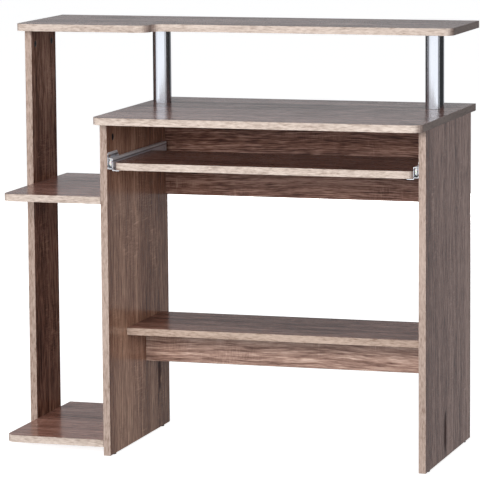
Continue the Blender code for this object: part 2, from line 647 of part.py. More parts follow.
def make_axle(name, side, fixed, head_face, y, z, parent=None):
    """Rivet from the steel at `fixed` through the roller, its head beyond `head_face`."""
    face, way = SLIDES[side]
    toward = way if head_face > fixed else -way
    length = abs(head_face - fixed)
    profile = [(0, AXLE_HEAD), (0.6 * AXLE_HEAD_RADIUS, AXLE_HEAD), (AXLE_HEAD_RADIUS, 0.3 * AXLE_HEAD),
               (AXLE_HEAD_RADIUS, 0), (AXLE_RADIUS, 0), (AXLE_RADIUS, -length), (0, -length)]
    turned(name, flipped(profile, toward), (face + way * head_face, y, z), "X", ZINC, parent)


def make_tray_rail(side, tray):
    """Z strip that carries the tray: foot under the board, web beside it, flange out over the roller."""
    face, way = SLIDES[side]
    half = SHEET / 2
    web = TRAY_WEB_OUTER + half
    low = TRAY_RAIL_BOTTOM + half
    high = TRAY_RAIL_TOP - half
    path = [(TRAY_SIDE_GAP + TRAY_RAIL_FOOT, low), (web, low), (web, high), (TRAY_RAIL_REACH, high)]
    rail = rail_strip(f"tray_rail_{side}", path, side, RAIL_FRONT, RAIL_BACK, tray)
    foot_end = TRAY_SIDE_GAP + TRAY_RAIL_FOOT
    low_x, high_x = sorted((face + way * (TRAY_SIDE_GAP + GAP), face + way * (foot_end + OVERCUT)))
    cut_box(rail, (low_x, TRAY_BACK, TRAY_RAIL_BOTTOM - OVERCUT),
            (high_x, RAIL_BACK + OVERCUT, TRAY_RAIL_BOTTOM + 2 * SHEET))
    x = face + way * (TRAY_SIDE_GAP + TRAY_SCREW_REACH)
    hole = SCREW_RADIUS + HOLE_SLACK
    for label, y in (("front", TRAY_FRONT + TRAY_SCREW_INSET), ("back", TRAY_BACK - TRAY_SCREW_INSET)):
        drill(rail, (x, y, 0), "Z", hole, TRAY_RAIL_BOTTOM - OVERCUT, TRAY_BOTTOM)
        drill(tray, (x, y, 0), "Z", hole, TRAY_BOTTOM - OVERCUT, TRAY_RAIL_BOTTOM + SCREW_BITE + HOLE_SLACK)
        pan_screw(f"tray_rail_screw_{side}_{label}", (x, y, TRAY_RAIL_BOTTOM), "Z", -1, SCREW_RADIUS,
                  SCREW_HEAD_RADIUS, SCREW_HEAD, SCREW_BITE, tray)
    drill(rail, (0, REAR_ROLLER_Y, REAR_ROLLER_Z), "X", AXLE_RADIUS + HOLE_SLACK,
          face + way * (TRAY_WEB_OUTER - OVERCUT), face + way * (TRAY_WEB_INNER + OVERCUT))
    return rail


def make_slide(side, tray):
    """Both rails of one slide, with the roller on the cabinet rail and the one on the tray rail."""
    make_cabinet_rail(side)
    make_tray_rail(side, tray)
    make_roller(f"front_roller_{side}", side, FRONT_ROLLER_NEAR, FRONT_ROLLER_FAR, FRONT_ROLLER_RADIUS,
                FRONT_ROLLER_Y, FRONT_ROLLER_Z, None)
    make_axle(f"front_axle_{side}", side, WEB_OUTER + HOLE_SLACK, FRONT_ROLLER_FAR + GAP,
              FRONT_ROLLER_Y, FRONT_ROLLER_Z)
    make_roller(f"rear_roller_{side}", side, REAR_ROLLER_NEAR, REAR_ROLLER_FAR, REAR_ROLLER_RADIUS,
                REAR_ROLLER_Y, REAR_ROLLER_Z, tray)
    make_axle(f"rear_axle_{side}", side, TRAY_WEB_INNER, REAR_ROLLER_NEAR - GAP,
              REAR_ROLLER_Y, REAR_ROLLER_Z, tray)


# ---------------------------------------------------------------- the desk
def make_desk():
    sides = make_desk_sides()
    desktop = make_desktop()
    top_shelf = make_top_shelf()
    stand_side = make_stand()
    make_cross_boards()
    for label in TUBE_X:
        make_tube(label, desktop, top_shelf)
    tray = rounded_board("keyboard_tray", (TRAY_LEFT, TRAY_FRONT, TRAY_BOTTOM),
                         (TRAY_RIGHT, TRAY_BACK, TRAY_TOP), SHELF_CORNER, SHELF_CORNER)
    for side in SLIDES:
        make_slide(side, tray)
    for side, (face, way) in SLIDES.items():
        for place, y in DESK_FIXING_Y.items():
            cam_joint(sides[side], desktop, f"desk_{side}_{place}", face, way, y, SIDE_TOP)
    for place, y in STAND_FIXING_Y.items():
        cam_joint(stand_side, top_shelf, f"stand_{place}", STAND_INNER, 1, y, STAND_SIDE_TOP)


make_desk()
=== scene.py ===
# %% [markdown]
# # A flat-pack computer desk with a keyboard tray
#
# The desk is made of 16 mm chipboard boards faced with a printed grey oak melamine. Their narrow
# edges carry a paler edge band. Two aluminium posts hold the raised shelf, and the keyboard tray
# runs on two steel slides with nylon rollers.
#
# Every part comes from the packed model and keeps its shape, so this lesson is about finishes and
# light. It sets a camera, gives each part the look of its own material and builds a small studio.

# %% The packed model
import math
from typing import NamedTuple

import bpy
from mathutils import Matrix, Vector


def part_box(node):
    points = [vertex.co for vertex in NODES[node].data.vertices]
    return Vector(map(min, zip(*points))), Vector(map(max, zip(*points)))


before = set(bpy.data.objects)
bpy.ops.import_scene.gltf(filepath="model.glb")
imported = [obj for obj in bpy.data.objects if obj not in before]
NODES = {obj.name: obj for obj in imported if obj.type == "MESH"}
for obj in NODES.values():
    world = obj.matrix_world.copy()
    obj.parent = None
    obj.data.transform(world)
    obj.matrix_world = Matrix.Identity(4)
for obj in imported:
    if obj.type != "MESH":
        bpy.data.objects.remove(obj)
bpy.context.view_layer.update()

# %% [markdown]
# # Camera
#
# A long lens far from the desk keeps the upright boards almost parallel, as in a catalogue picture.
# The camera stands to the right of the desk, half a metre higher than the raised shelf, and looks
# slightly down. Its axes are built from a turn, a pitch and a slight roll, which are easier to read
# and to correct than the nine numbers of a matrix.

# %% Camera
CAMERA_PLACE = Vector((2.1320, -6.7722, 1.4461))
CAMERA_TURN = math.radians(17.386)
CAMERA_PITCH = math.radians(7.872)
CAMERA_ROLL = math.radians(-0.414)
LENS = 243.3
FARTHEST_SEEN = 100


def camera_axes(turn, pitch, roll):
    """Right, up and backward axes of a camera that looks along +Y before it is turned."""
    forward = Vector((-math.sin(turn) * math.cos(pitch), math.cos(turn) * math.cos(pitch),
                      -math.sin(pitch)))
    level = Vector((math.cos(turn), math.sin(turn), 0))
    upright = level.cross(forward)
    right = level * math.cos(roll) + upright * math.sin(roll)
    up = upright * math.cos(roll) - level * math.sin(roll)
    return Matrix((right, up, -forward)).transposed()


lens = bpy.data.cameras.new("camera")
lens.lens = LENS
lens.clip_end = FARTHEST_SEEN
camera = bpy.data.objects.new("camera", lens)
camera.matrix_world = Matrix.LocRotScale(
    CAMERA_PLACE, camera_axes(CAMERA_TURN, CAMERA_PITCH, CAMERA_ROLL), None)
bpy.context.scene.collection.objects.link(camera)
bpy.context.scene.camera = camera
print(f"camera {CAMERA_PLACE.length:.2f} m away with a {LENS:.0f} mm lens")

# %% [markdown]
# # Short calls for shader work
#
# A finish is a small net of shader nodes. Adding and joining them one by one takes three lines for
# each, which hides the sum that they work out. These calls add one node each and join it to what
# it reads, so the finishes further on read as sums.

# %% Shader helpers
class Net:
    """One node tree, with a short call for each kind of node."""

    def __init__(self, tree):
        self.tree = tree

    def put(self, socket, value):
        """Join a socket to another node's output, or set it to a fixed value."""
        if isinstance(value, bpy.types.NodeSocket):
            self.tree.links.new(value, socket)
        else:
            socket.default_value = value

    def node(self, kind, **settings):
        made = self.tree.nodes.new(f"ShaderNode{kind}")
        for name, value in settings.items():
            setattr(made, name, value)
        return made

    def place(self):
        """Place on the part, in metres."""
        return self.node("TexCoord").outputs["Object"]

    def math(self, operation, first, second=0.0, third=0.0):
        made = self.node("Math", operation=operation)
        for socket, value in zip(made.inputs, (first, second, third)):
            self.put(socket, value)
        return made.outputs[0]

    def vector(self, x, y, z):
        made = self.node("CombineXYZ")
        for socket, value in zip(made.inputs, (x, y, z)):
            self.put(socket, value)
        return made.outputs[0]

    def split(self, vector):
        """The three parts of a vector."""
        made = self.node("SeparateXYZ")
        self.put(made.inputs[0], vector)
        return made.outputs

    def stretch(self, vector, scale):
        made = self.node("VectorMath", operation="MULTIPLY")
        self.put(made.inputs[0], vector)
        made.inputs[1].default_value = scale
        return made.outputs[0]

    def noise(self, vector, scale, detail=2.0, rough=0.5):
        """Noise from 0 to 1 with its own stretch along each axis, in cycles per metre."""
        made = self.node("TexNoise")
        self.put(made.inputs["Vector"], self.stretch(vector, scale))
        made.inputs["Scale"].default_value = 1.0
        made.inputs["Detail"].default_value = detail
        made.inputs["Roughness"].default_value = rough
        return made.outputs["Fac"]

    def span(self, value, low, high, new_low=0.0, new_high=1.0):
        """Move a value from one range to another, smoothly and clamped."""
        made = self.node("MapRange", interpolation_type="SMOOTHSTEP")
        for socket, number in zip(made.inputs, (value, low, high, new_low, new_high)):
            self.put(socket, number)
        return made.outputs[0]

    def ramp(self, value, stops):
        made = self.node("ValToRGB")
        self.put(made.inputs[0], value)
        elements = made.color_ramp.elements
        while len(elements) < len(stops):
            elements.new(0.5)
        for element, (place, colour) in zip(elements, stops):
            element.position = place
            element.color = (*colour, 1.0)
        return made.outputs[0]

    def mix(self, share, first, second, blend="MIX"):
        made = self.node("Mix", data_type="RGBA", blend_type=blend)
        self.put(made.inputs["Factor"], share)
        for socket, value in ((made.inputs[6], first), (made.inputs[7], second)):
            if isinstance(value, tuple):
                value = (*value, 1.0)
            self.put(socket, value)
        return made.outputs[2]

    def group(self, tree, **values):
        made = self.node("Group", node_tree=tree)
        for name, value in values.items():
            self.put(made.inputs[name], value)
        return made.outputs

    def bump(self, height, depth):
        """Surface direction for a relief of the given depth in metres."""
        made = self.node("Bump")
        self.put(made.inputs["Height"], height)
        made.inputs["Distance"].default_value = depth
        made.inputs["Strength"].default_value = 1.0
        return made.outputs[0]


print("node calls:", ", ".join(name for name in vars(Net) if not name.startswith("_")))

# %% [markdown]
# # Effects, finishes and who gets them
#
# An effect that several finishes share becomes a node group. It hands out only colours, masks and
# heights, and the shader itself stays in each material. A finish is then given to its parts by
# name, and replaces whatever plain colour the solid model came with.

# %% Effects and finishes
PRINT_OUTPUTS = [("Colour", "Color"), ("Roughness", "Float"), ("Height", "Float")]


def effect(name, inputs, outputs):
    """An empty node group; returns its net, its input sockets and its output node's sockets."""
    tree = bpy.data.node_groups.new(name, "ShaderNodeTree")
    for label, kind in inputs:
        tree.interface.new_socket(label, in_out="INPUT", socket_type=f"NodeSocket{kind}")
    for label, kind in outputs:
        tree.interface.new_socket(label, in_out="OUTPUT", socket_type=f"NodeSocket{kind}")
    return Net(tree), tree.nodes.new("NodeGroupInput").outputs, tree.nodes.new("NodeGroupOutput").inputs


def finish_material(name):
    """A new material; returns it, its net and its shader's input sockets."""
    made = bpy.data.materials.new(name)
    made.use_nodes = True
    return made, Net(made.node_tree), made.node_tree.nodes["Principled BSDF"].inputs


def give(material, names):
    """Put a finish on solid parts."""
    for name in names:
        NODES[name].data.materials.clear()
        NODES[name].data.materials.append(material)
    print(f"{material.name}: {len(names)} parts")


def parts_named(*starts):
    """Names of the solid parts that start with one of these words."""
    return [name for name in NODES if name.startswith(starts)]


print("boards that stand on end:", ", ".join(parts_named("desk_side_", "stand_side")))

# %% [markdown]
# # Knots in the print
#
# A knot is where a branch left the trunk: a dark eye, drawn out along the grain, that pushes the
# grain aside. Only the two desk sides show one. It could be a painted spot, but as a formula it can
# bend the grain around itself too.

# %% Knot
KNOT_LENGTH = 0.034
KNOT_WIDTH = 0.0075
KNOT_RIM = 2.6                  # squared radius at which the knot has faded out


def knot_mask(net, along, across, knot):
    """An ellipse, 1 at its middle: (along / length) squared plus (across / width) squared, faded.

    `knot` holds the eye's place along and across the grain, and how dark it is.
    """
    eye_along, eye_across, darkness = net.split(knot)
    far_along = net.math("DIVIDE", net.math("SUBTRACT", along, eye_along), KNOT_LENGTH)
    far_across = net.math("DIVIDE", net.math("SUBTRACT", across, eye_across), KNOT_WIDTH)
    spread = net.math("ADD", net.math("MULTIPLY", far_along, far_along),
                      net.math("MULTIPLY", far_across, far_across))
    return net.math("MULTIPLY", net.span(spread, KNOT_RIM, 0.0), darkness)


print(f"knot {2000 * KNOT_LENGTH:.0f} mm long and {2000 * KNOT_WIDTH:.0f} mm wide")

# %% [markdown]
# # Saw marks in the print
#
# Rough-sawn oak keeps short marks of the blade, square to the grain, where the blade rubbed. Rays
# of paler wood show in the same places. Both come in patches, so one slow noise switches them on.

# %% Saw marks and rays
# a noise is given as its cycles per metre along and across the grain, octaves, and roughness
SAWN_PATCHES = ((5.0, 13.0, 1.0), 2.0)
SAWN_EDGE = (0.47, 0.66)
SAW_TEETH = ((520.0, 60.0, 1.0), 3.0, 0.6)
RAYS = ((150.0, 19.0, 1.0), 1.0)
RAY_EDGE = (0.60, 0.78)


def saw_marks_and_rays(net, place):
    """Two masks that share one set of patches: saw marks around 0, rays from 0 to 1."""
    patch = net.span(net.noise(place, *SAWN_PATCHES), *SAWN_EDGE)
    teeth = net.math("SUBTRACT", net.noise(place, *SAW_TEETH), 0.5)
    rays = net.span(net.noise(place, *RAYS), *RAY_EDGE)
    return net.math("MULTIPLY", teeth, patch), net.math("MULTIPLY", rays, patch)


print(f"a saw mark every {1000 / SAW_TEETH[0][0]:.1f} mm or so")

# %% [markdown]
# # Printed oak
#
# The melamine is paper printed with rough-sawn grey oak and pressed on the chipboard. A scanned
# sheet would repeat and blur up close, so the print is worked out in layers. Wide planks differ in
# tone. Five noises, stretched along the grain, run from a slow figure to fine lines, and bend
# slowly around the growth. Saw marks, rays, dark pores and a knot lie on top. The sum picks a
# colour between dark, middle and light oak. The group works in a flat frame: x along the grain,
# y across it, and z picks the sheet.

# %% Printed oak face
OAK_DARK = (0.085, 0.036, 0.026)
OAK_MIDDLE = (0.360, 0.215, 0.170)
OAK_LIGHT = (0.700, 0.500, 0.420)
OAK_STOPS = [(0.06, OAK_DARK), (0.47, OAK_MIDDLE), (0.90, OAK_LIGHT)]
OAK_MIDDLE_TONE = 0.46
PLANK_WIDTH = 0.074
PLANK_DIFFERENCE = 0.16
GROWTH = ((1.9, 8.0, 1.0), 2.0)
KNOT_PUSH = 0.012               # how far a knot pushes the grain aside
PORES = ((75.0, 1700.0, 1.0), 1.0)
PORE_EDGE = (0.64, 0.74)
GRAIN = {                       # noise, and its weight in the sum
    "figure": (((1.1, 19.0, 1.0), 2.0), 0.45),
    "streaks": (((2.0, 66.0, 1.0), 4.0, 0.6), 0.55),
    "lines": (((8.0, 250.0, 1.0), 3.0, 0.65), 1.20),
    "dashes": (((34.0, 400.0, 1.0), 2.0, 0.6), 1.00),
    "fine": (((14.0, 560.0, 1.0), 3.0, 0.6), 0.80),
}
SAW_WEIGHT = 0.55
RAY_WEIGHT = 0.22
PORE_WEIGHT = -0.20
KNOT_WEIGHT = -0.8
OAK_ROUGHNESS = (0.10, 0.15)    # spread, and least
MATT_TONES = (0.50, 0.10)       # from middling grain to the darkest
MATT_GRAIN = 0.09
MATT_KNOT = 0.30
SAW_RELIEF = 0.8
FINE_RELIEF = 0.7
PORE_RELIEF = -0.9


def plank_tones(net, across, sheet):
    """One random tone for each plank, around 0."""
    plank = net.math("FLOOR", net.math("DIVIDE", across, PLANK_WIDTH))
    tone = net.node("TexWhiteNoise", noise_dimensions="2D")
    net.put(tone.inputs["Vector"], net.vector(plank, sheet, 0.0))
    return net.math("MULTIPLY", net.math("SUBTRACT", tone.outputs["Value"], 0.5), PLANK_DIFFERENCE)


def make_oak_print():
    net, given, result = effect(
        "oak_print", [("Place", "Vector"), ("Sway", "Float"), ("Knot", "Vector"), ("Contrast", "Float")],
        PRINT_OUTPUTS)
    place = given["Place"]
    along, across, sheet = net.split(place)
    knot = knot_mask(net, along, across, given["Knot"])
    growth = net.math("SUBTRACT", net.noise(place, *GROWTH), 0.5)
    bent = net.math("MULTIPLY_ADD", growth, given["Sway"], across)
    bent = net.math("MULTIPLY_ADD", knot, KNOT_PUSH, bent)
    grain_place = net.vector(along, bent, sheet)
    grain = {name: net.noise(grain_place, *noise) for name, (noise, _) in GRAIN.items()}
    pores = net.span(net.noise(grain_place, *PORES), *PORE_EDGE)
    saw_marks, rays = saw_marks_and_rays(net, place)
    value = plank_tones(net, across, sheet)
    for name, (_, weight) in GRAIN.items():
        value = net.math("MULTIPLY_ADD", net.math("SUBTRACT", grain[name], 0.5), weight, value)
    for layer, weight in ((saw_marks, SAW_WEIGHT), (rays, RAY_WEIGHT), (pores, PORE_WEIGHT),
                          (knot, KNOT_WEIGHT)):
        value = net.math("MULTIPLY_ADD", layer, weight, value)
    value = net.math("MULTIPLY_ADD", value, given["Contrast"], OAK_MIDDLE_TONE)
    net.put(result["Colour"], net.ramp(value, OAK_STOPS))
    # dark grain and knots are pressed into the face and stay matt
    matt_knot = net.math("MULTIPLY", knot, MATT_KNOT)
    matt = net.math("MULTIPLY_ADD", net.span(value, *MATT_TONES), MATT_GRAIN, matt_knot)
    rough = net.math("MULTIPLY_ADD", grain["fine"], *OAK_ROUGHNESS)
    net.put(result["Roughness"], net.math("ADD", matt, rough))
    relief = net.math("MULTIPLY", grain["fine"], FINE_RELIEF)
    relief = net.math("MULTIPLY_ADD", saw_marks, SAW_RELIEF, relief)
    net.put(result["Height"], net.math("MULTIPLY_ADD", pores, PORE_RELIEF, relief))
    return net.tree


OAK_PRINT = make_oak_print()
print("oak print:", len(OAK_PRINT.nodes), "nodes")

# %% [markdown]
# # Edge band
#
# The edge band is a thin plastic strip, ironed along each cut edge. It is printed too, paler than
# the faces, with short flecks that follow the edge. Two noises are enough: one for the flecks, and
# a slow one that changes the tone along the strip.

# %% Printed edge band
BAND_LIGHT = (0.520, 0.425, 0.370)
BAND_MIDDLE = (0.400, 0.315, 0.268)
BAND_DARK = (0.210, 0.145, 0.115)
BAND_STOPS = [(0.12, BAND_DARK), (0.48, BAND_MIDDLE), (0.85, BAND_LIGHT)]
BAND_MIDDLE_TONE = 0.55
FLECKS = ((70.0, 330.0, 1.0), 3.0, 0.65)
FLECK_WEIGHT = 1.7
DRIFT = ((5.0, 60.0, 1.0), 3.0)
DRIFT_WEIGHT = 0.7
BAND_ROUGHNESS = (0.20, 0.30)   # spread, and least


def make_band_print():
    net, given, result = effect("band_print", [("Place", "Vector")], PRINT_OUTPUTS)
    place = given["Place"]
    flecks = net.noise(place, *FLECKS)
    drift = net.noise(place, *DRIFT)
    value = net.math("MULTIPLY_ADD", net.math("SUBTRACT", flecks, 0.5), FLECK_WEIGHT, BAND_MIDDLE_TONE)
    value = net.math("MULTIPLY_ADD", net.math("SUBTRACT", drift, 0.5), DRIFT_WEIGHT, value)
    net.put(result["Colour"], net.ramp(value, BAND_STOPS))
    net.put(result["Roughness"], net.math("MULTIPLY_ADD", flecks, *BAND_ROUGHNESS))
    net.put(result["Height"], flecks)
    return net.tree


BAND_PRINT = make_band_print()
print("band print:", len(BAND_PRINT.nodes), "nodes")

# %% [markdown]
# # A board's finish
#
# On a real board the two prints meet at the arris, where the glue line shows as a thin dark seam.
# A face looks along the board's thickness and any other direction is an edge, so the surface's own
# direction can tell the shader which print to show. That needs no second material and no cuts in
# the mesh. Bands on board ends, which face along X, get painted shade, as less light falls on them.

# %% One board
FACE_EDGE = (0.80, 0.97)        # how squarely a face looks along the thickness
END_EDGE = (0.5, 0.95)          # how squarely a board end looks along X
# painted shade on end bands, which face along X and catch less of the frontal light
PAINTED_END_SHADE = (0.60, 0.55, 0.56)
SEAM_DARKNESS = 1.6
BAND_RELIEF = 0.6
BOARD_RELIEF = 0.00007
CALM = 0.020                    # how far the grain sways, in metres
LIVELY = 0.050
NO_KNOT = (9.0, 9.0, 0.0)


class Board(NamedTuple):
    """How one board is printed."""

    axes: str                   # the grain's, the width's and the thickness's axis
    contrast: float
    # the face tone and the band tone: the print's own tone times painted light and shade for where the
    # board stands
    tone: tuple
    band_light_and_tone: tuple
    gloss: float
    sway: float = CALM
    knot: tuple = NO_KNOT


def board_material(name, board, sheet):
    """Oak faces and pale edge bands; `sheet` picks a stretch of print of its own."""
    made, net, shader = finish_material(f"oak_{name}")
    coordinates = net.node("TexCoord").outputs
    place = net.split(coordinates["Object"])
    facing = net.split(coordinates["Normal"])
    along, across, through = ("XYZ".index(axis) for axis in board.axes)
    face = net.span(net.math("ABSOLUTE", facing[through]), *FACE_EDGE)
    edge = net.math("SUBTRACT", 1.0, face)
    oak = net.group(OAK_PRINT, Place=net.vector(place[along], place[across], sheet), Sway=board.sway,
                    Knot=board.knot, Contrast=board.contrast)
    around = net.math("ADD", place[along], place[across])
    band = net.group(BAND_PRINT, Place=net.vector(around, place[through], sheet))
    # the board's tone multiplies painted light and shade into the print
    printed = net.mix(1.0, oak["Colour"], board.tone, "MULTIPLY")
    # the band print times the band tone, which carries painted light and shade
    strip = net.mix(1.0, band["Colour"], board.band_light_and_tone, "MULTIPLY")
    # bands that face along X get painted shade
    shaded_end = net.span(net.math("ABSOLUTE", facing[0]), *END_EDGE)
    strip = net.mix(shaded_end, strip, net.mix(1.0, strip, PAINTED_END_SHADE, "MULTIPLY"))
    seam = net.math("MULTIPLY", face, edge)
    colour = net.mix(net.math("MULTIPLY", seam, SEAM_DARKNESS), net.mix(face, strip, printed), OAK_DARK)
    net.put(shader["Base Color"], colour)
    rough = net.math("ADD", net.math("MULTIPLY", face, oak["Roughness"]),
                     net.math("MULTIPLY", edge, band["Roughness"]))
    net.put(shader["Roughness"], rough)
    band_height = net.math("MULTIPLY", net.math("MULTIPLY", edge, band["Height"]), BAND_RELIEF)
    height = net.math("ADD", net.math("MULTIPLY", face, oak["Height"]), band_height)
    net.put(shader["Normal"], net.bump(height, BOARD_RELIEF))
    shader["Specular IOR Level"].default_value = board.gloss
    return made


print(f"grain sways {1000 * CALM:.0f} mm on calm boards and {1000 * LIVELY:.0f} mm on lively ones")

# %% [markdown]
# # The boards of this desk
#
# The grain runs along each board's length: upright on the sides, level on everything else. Boards
# are cut from different sheets, which differ in contrast and gloss, so each board has a print run of
# its own. Each board's tone carries painted light and shade for where it stands, on top of its
# print's own tone: boards in shade under the desk are darkened and the stretcher is brightened. A
# table of them is easier to compare and to change than eleven materials.

# %% All boards
LEVEL = "XYZ"
STANDING = "XZY"
UPRIGHT = "ZYX"
# band tones: the band's own tone with painted light on the upper boards' bands and painted shade on boards
# low under the desk
LEVEL_BAND_LIGHT_AND_TONE = (1.42, 1.47, 1.48)
LOW_BAND_SHADE_AND_TONE = (1.16, 1.10, 1.04)
UPRIGHT_BAND_LIGHT_AND_TONE = (1.06, 1.01, 0.99)
SHEET_STEP = 3.7                # far enough that no two boards share a stretch of print
# face tones are partly painted shade, darker on the tray, back panel, lower shelf and stand side in shade,
# and partly painted light, lighter on the stretcher
BOARDS = {
    "desktop": Board(LEVEL, 1.9, (0.90, 0.80, 0.82), LEVEL_BAND_LIGHT_AND_TONE, 0.48),
    "top_shelf": Board(LEVEL, 1.8, (0.95, 0.90, 0.92), LEVEL_BAND_LIGHT_AND_TONE, 0.50),
    "stand_middle_shelf": Board(LEVEL, 1.7, (0.92, 0.76, 0.76), LEVEL_BAND_LIGHT_AND_TONE, 0.42),
    "stand_bottom_shelf": Board(LEVEL, 1.2, (0.82, 0.65, 0.61), LEVEL_BAND_LIGHT_AND_TONE, 0.20),
    "keyboard_tray": Board(LEVEL, 1.5, (0.61, 0.49, 0.48), LEVEL_BAND_LIGHT_AND_TONE, 0.25),
    "lower_shelf": Board(LEVEL, 1.5, (0.70, 0.56, 0.52), LOW_BAND_SHADE_AND_TONE, 0.04),
    "back_panel": Board(STANDING, 1.5, (0.62, 0.52, 0.48), LOW_BAND_SHADE_AND_TONE, 0.20, sway=LIVELY),
    "lower_stretcher": Board(STANDING, 0.85, (1.26, 1.34, 1.32), LOW_BAND_SHADE_AND_TONE, 0.40, sway=LIVELY),
    "desk_side_left": Board(UPRIGHT, 1.0, (1.22, 1.09, 0.92), UPRIGHT_BAND_LIGHT_AND_TONE, 0.22,
                            knot=(0.13, 0.150, 0.7)),
    "desk_side_right": Board(UPRIGHT, 1.7, (1.06, 0.94, 0.92), UPRIGHT_BAND_LIGHT_AND_TONE, 0.48,
                             knot=(0.06, -0.015, 1.0)),
    "stand_side": Board(UPRIGHT, 1.6, (0.68, 0.60, 0.54), UPRIGHT_BAND_LIGHT_AND_TONE, 0.01),
}
for number, (name, board) in enumerate(BOARDS.items(), start=1):
    give(board_material(name, board, SHEET_STEP * number), [name])

# %% [markdown]
# # Posts
#
# The posts are drawn aluminium tube with a satin anodised skin. Drawing leaves faint lines along
# the tube. The noise for them is stretched along Z, and only breaks the shine a little, because
# deep lines would turn the tube into brushed steel.

# %% Satin aluminium
ALUMINIUM = (0.82, 0.84, 0.89)
DULL_SHARE = 0.88               # tone of the drawn lines
DRAWN_LINES = ((900.0, 900.0, 5.0), 3.0)
ANODISED_CLOUD = ((30.0, 30.0, 9.0), 2.0)
DRAWN_RELIEF = 0.00002
DRAWN_ROUGHNESS = 0.08
SKIN_ROUGHNESS = (0.04, 0.16)   # spread, and least


def make_aluminium():
    made, net, shader = finish_material("satin_aluminium")
    place = net.place()
    lines = net.noise(place, *DRAWN_LINES)
    cloud = net.noise(place, *ANODISED_CLOUD)
    dull = tuple(DULL_SHARE * channel for channel in ALUMINIUM)
    net.put(shader["Base Color"], net.mix(lines, dull, ALUMINIUM))
    skin = net.math("MULTIPLY_ADD", cloud, *SKIN_ROUGHNESS)
    net.put(shader["Roughness"], net.math("MULTIPLY_ADD", lines, DRAWN_ROUGHNESS, skin))
    shader["Metallic"].default_value = 1.0
    net.put(shader["Normal"], net.bump(lines, DRAWN_RELIEF))
    return made


SIDES = ("left", "right")
give(make_aluminium(), [f"tube_{side}" for side in SIDES])

# %% [markdown]
# # Slide rails
#
# The rails are bent from thin steel and coated in light grey epoxy powder, which dries with a
# faint orange-peel texture. A painted highlight along each rolled rim, with a painted shade line
# beside it, stands in for the light and shade that the channel's bends catch. Those stripes run the
# whole length, so a colour ramp over the rail's own height draws them, with a little noise to keep
# them from looking ruled.

# %% Coated steel
# painted highlights along the rims and painted shade lines beside them, around the coat's own grey
RAIL_PAINTED_HIGHLIGHT = (0.90, 0.91, 0.95)
RAIL_MIDDLE = (0.66, 0.67, 0.72)
RAIL_PAINTED_SHADE = (0.10, 0.10, 0.12)
RAIL_STOPS = [                  # share of the rail's height, and the colour there
    (0.0, RAIL_PAINTED_HIGHLIGHT), (0.10, RAIL_PAINTED_HIGHLIGHT), (0.17, RAIL_PAINTED_SHADE), (0.27, RAIL_MIDDLE),
    (0.70, RAIL_MIDDLE), (0.80, RAIL_PAINTED_SHADE), (0.87, RAIL_PAINTED_HIGHLIGHT), (1.0, RAIL_PAINTED_HIGHLIGHT)]
PEEL = ((900.0, 900.0, 900.0), 2.0)
PEEL_RELIEF = 0.00004
RAIL_STREAKS = ((60.0, 9.0, 60.0), 4.0, 0.65)
STRIPE_WANDER = 0.06
COAT_METAL = 0.15
COAT_ROUGHNESS = (0.2, 0.20)    # spread, and least


def make_coated_steel(name, low, high):
    """Coated rail with painted highlight and shade stripes from the height `low` to the height `high`."""
    made, net, shader = finish_material(name)
    place = net.place()
    peel = net.noise(place, *PEEL)
    patchy = net.noise(place, *RAIL_STREAKS)
    share = net.math("DIVIDE", net.math("SUBTRACT", net.split(place)[2], low), high - low)
    share = net.math("MULTIPLY_ADD", net.math("SUBTRACT", patchy, 0.5), STRIPE_WANDER, share)
    # the ramp paints highlight and shade stripes by height
    net.put(shader["Base Color"], net.ramp(share, RAIL_STOPS))
    net.put(shader["Roughness"], net.math("MULTIPLY_ADD", patchy, *COAT_ROUGHNESS))
    shader["Metallic"].default_value = COAT_METAL
    net.put(shader["Normal"], net.bump(peel, PEEL_RELIEF))
    return made


for kind in ("cabinet", "tray"):
    rails = [f"{kind}_rail_{side}" for side in SIDES]
    heights = [corner[2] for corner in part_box(rails[0])]
    give(make_coated_steel(f"{kind}_steel", *heights), rails)

# %% [markdown]
# # Plastics
#
# The rollers are turned nylon, off-white and slightly waxy, so a little light passes under their
# skin. Glides and tube plugs are black plastic with a leather grain from the mould. Both look
# mottled up close: one noise mixes two colours, roughens the shine and lifts the surface.

# %% Nylon and black plastic
NYLON = ((0.70, 0.69, 0.66), (0.84, 0.84, 0.82))
TURNED_CLOUD = ((120.0, 120.0, 120.0), 3.0)
WAXINESS = 0.15                 # share of light that passes under the skin
WAX_DEPTH = 0.002
BLACK_PLASTIC = ((0.018, 0.018, 0.019), (0.045, 0.045, 0.047))
LEATHER_GRAIN = ((1400.0, 1400.0, 1400.0), 2.0)


def mottled(name, noise, colours, roughness, relief):
    """A finish of one noise; `roughness` is its spread and its least."""
    made, net, shader = finish_material(name)
    mottle = net.noise(net.place(), *noise)
    net.put(shader["Base Color"], net.mix(mottle, *colours))
    net.put(shader["Roughness"], net.math("MULTIPLY_ADD", mottle, *roughness))
    net.put(shader["Normal"], net.bump(mottle, relief))
    return made, shader


nylon, waxy = mottled("white_nylon", TURNED_CLOUD, NYLON, roughness=(0.15, 0.34), relief=0.00005)
waxy["Subsurface Weight"].default_value = WAXINESS
waxy["Subsurface Scale"].default_value = WAX_DEPTH
give(nylon, parts_named("front_roller_", "rear_roller_"))
plastic, _ = mottled("black_plastic", LEATHER_GRAIN, BLACK_PLASTIC, roughness=(0.20, 0.42), relief=0.00006)
give(plastic, parts_named("glide_", "tube_plug_"))

# %% [markdown]
# # Small steel
#
# Rivets, screws, bolts and studs are zinc plated: dull, with a blotchy crystal pattern, which a
# Voronoi texture draws. The cam locks are blackened castings, near black, with a slightly brighter
# skin where a screwdriver has rubbed them.

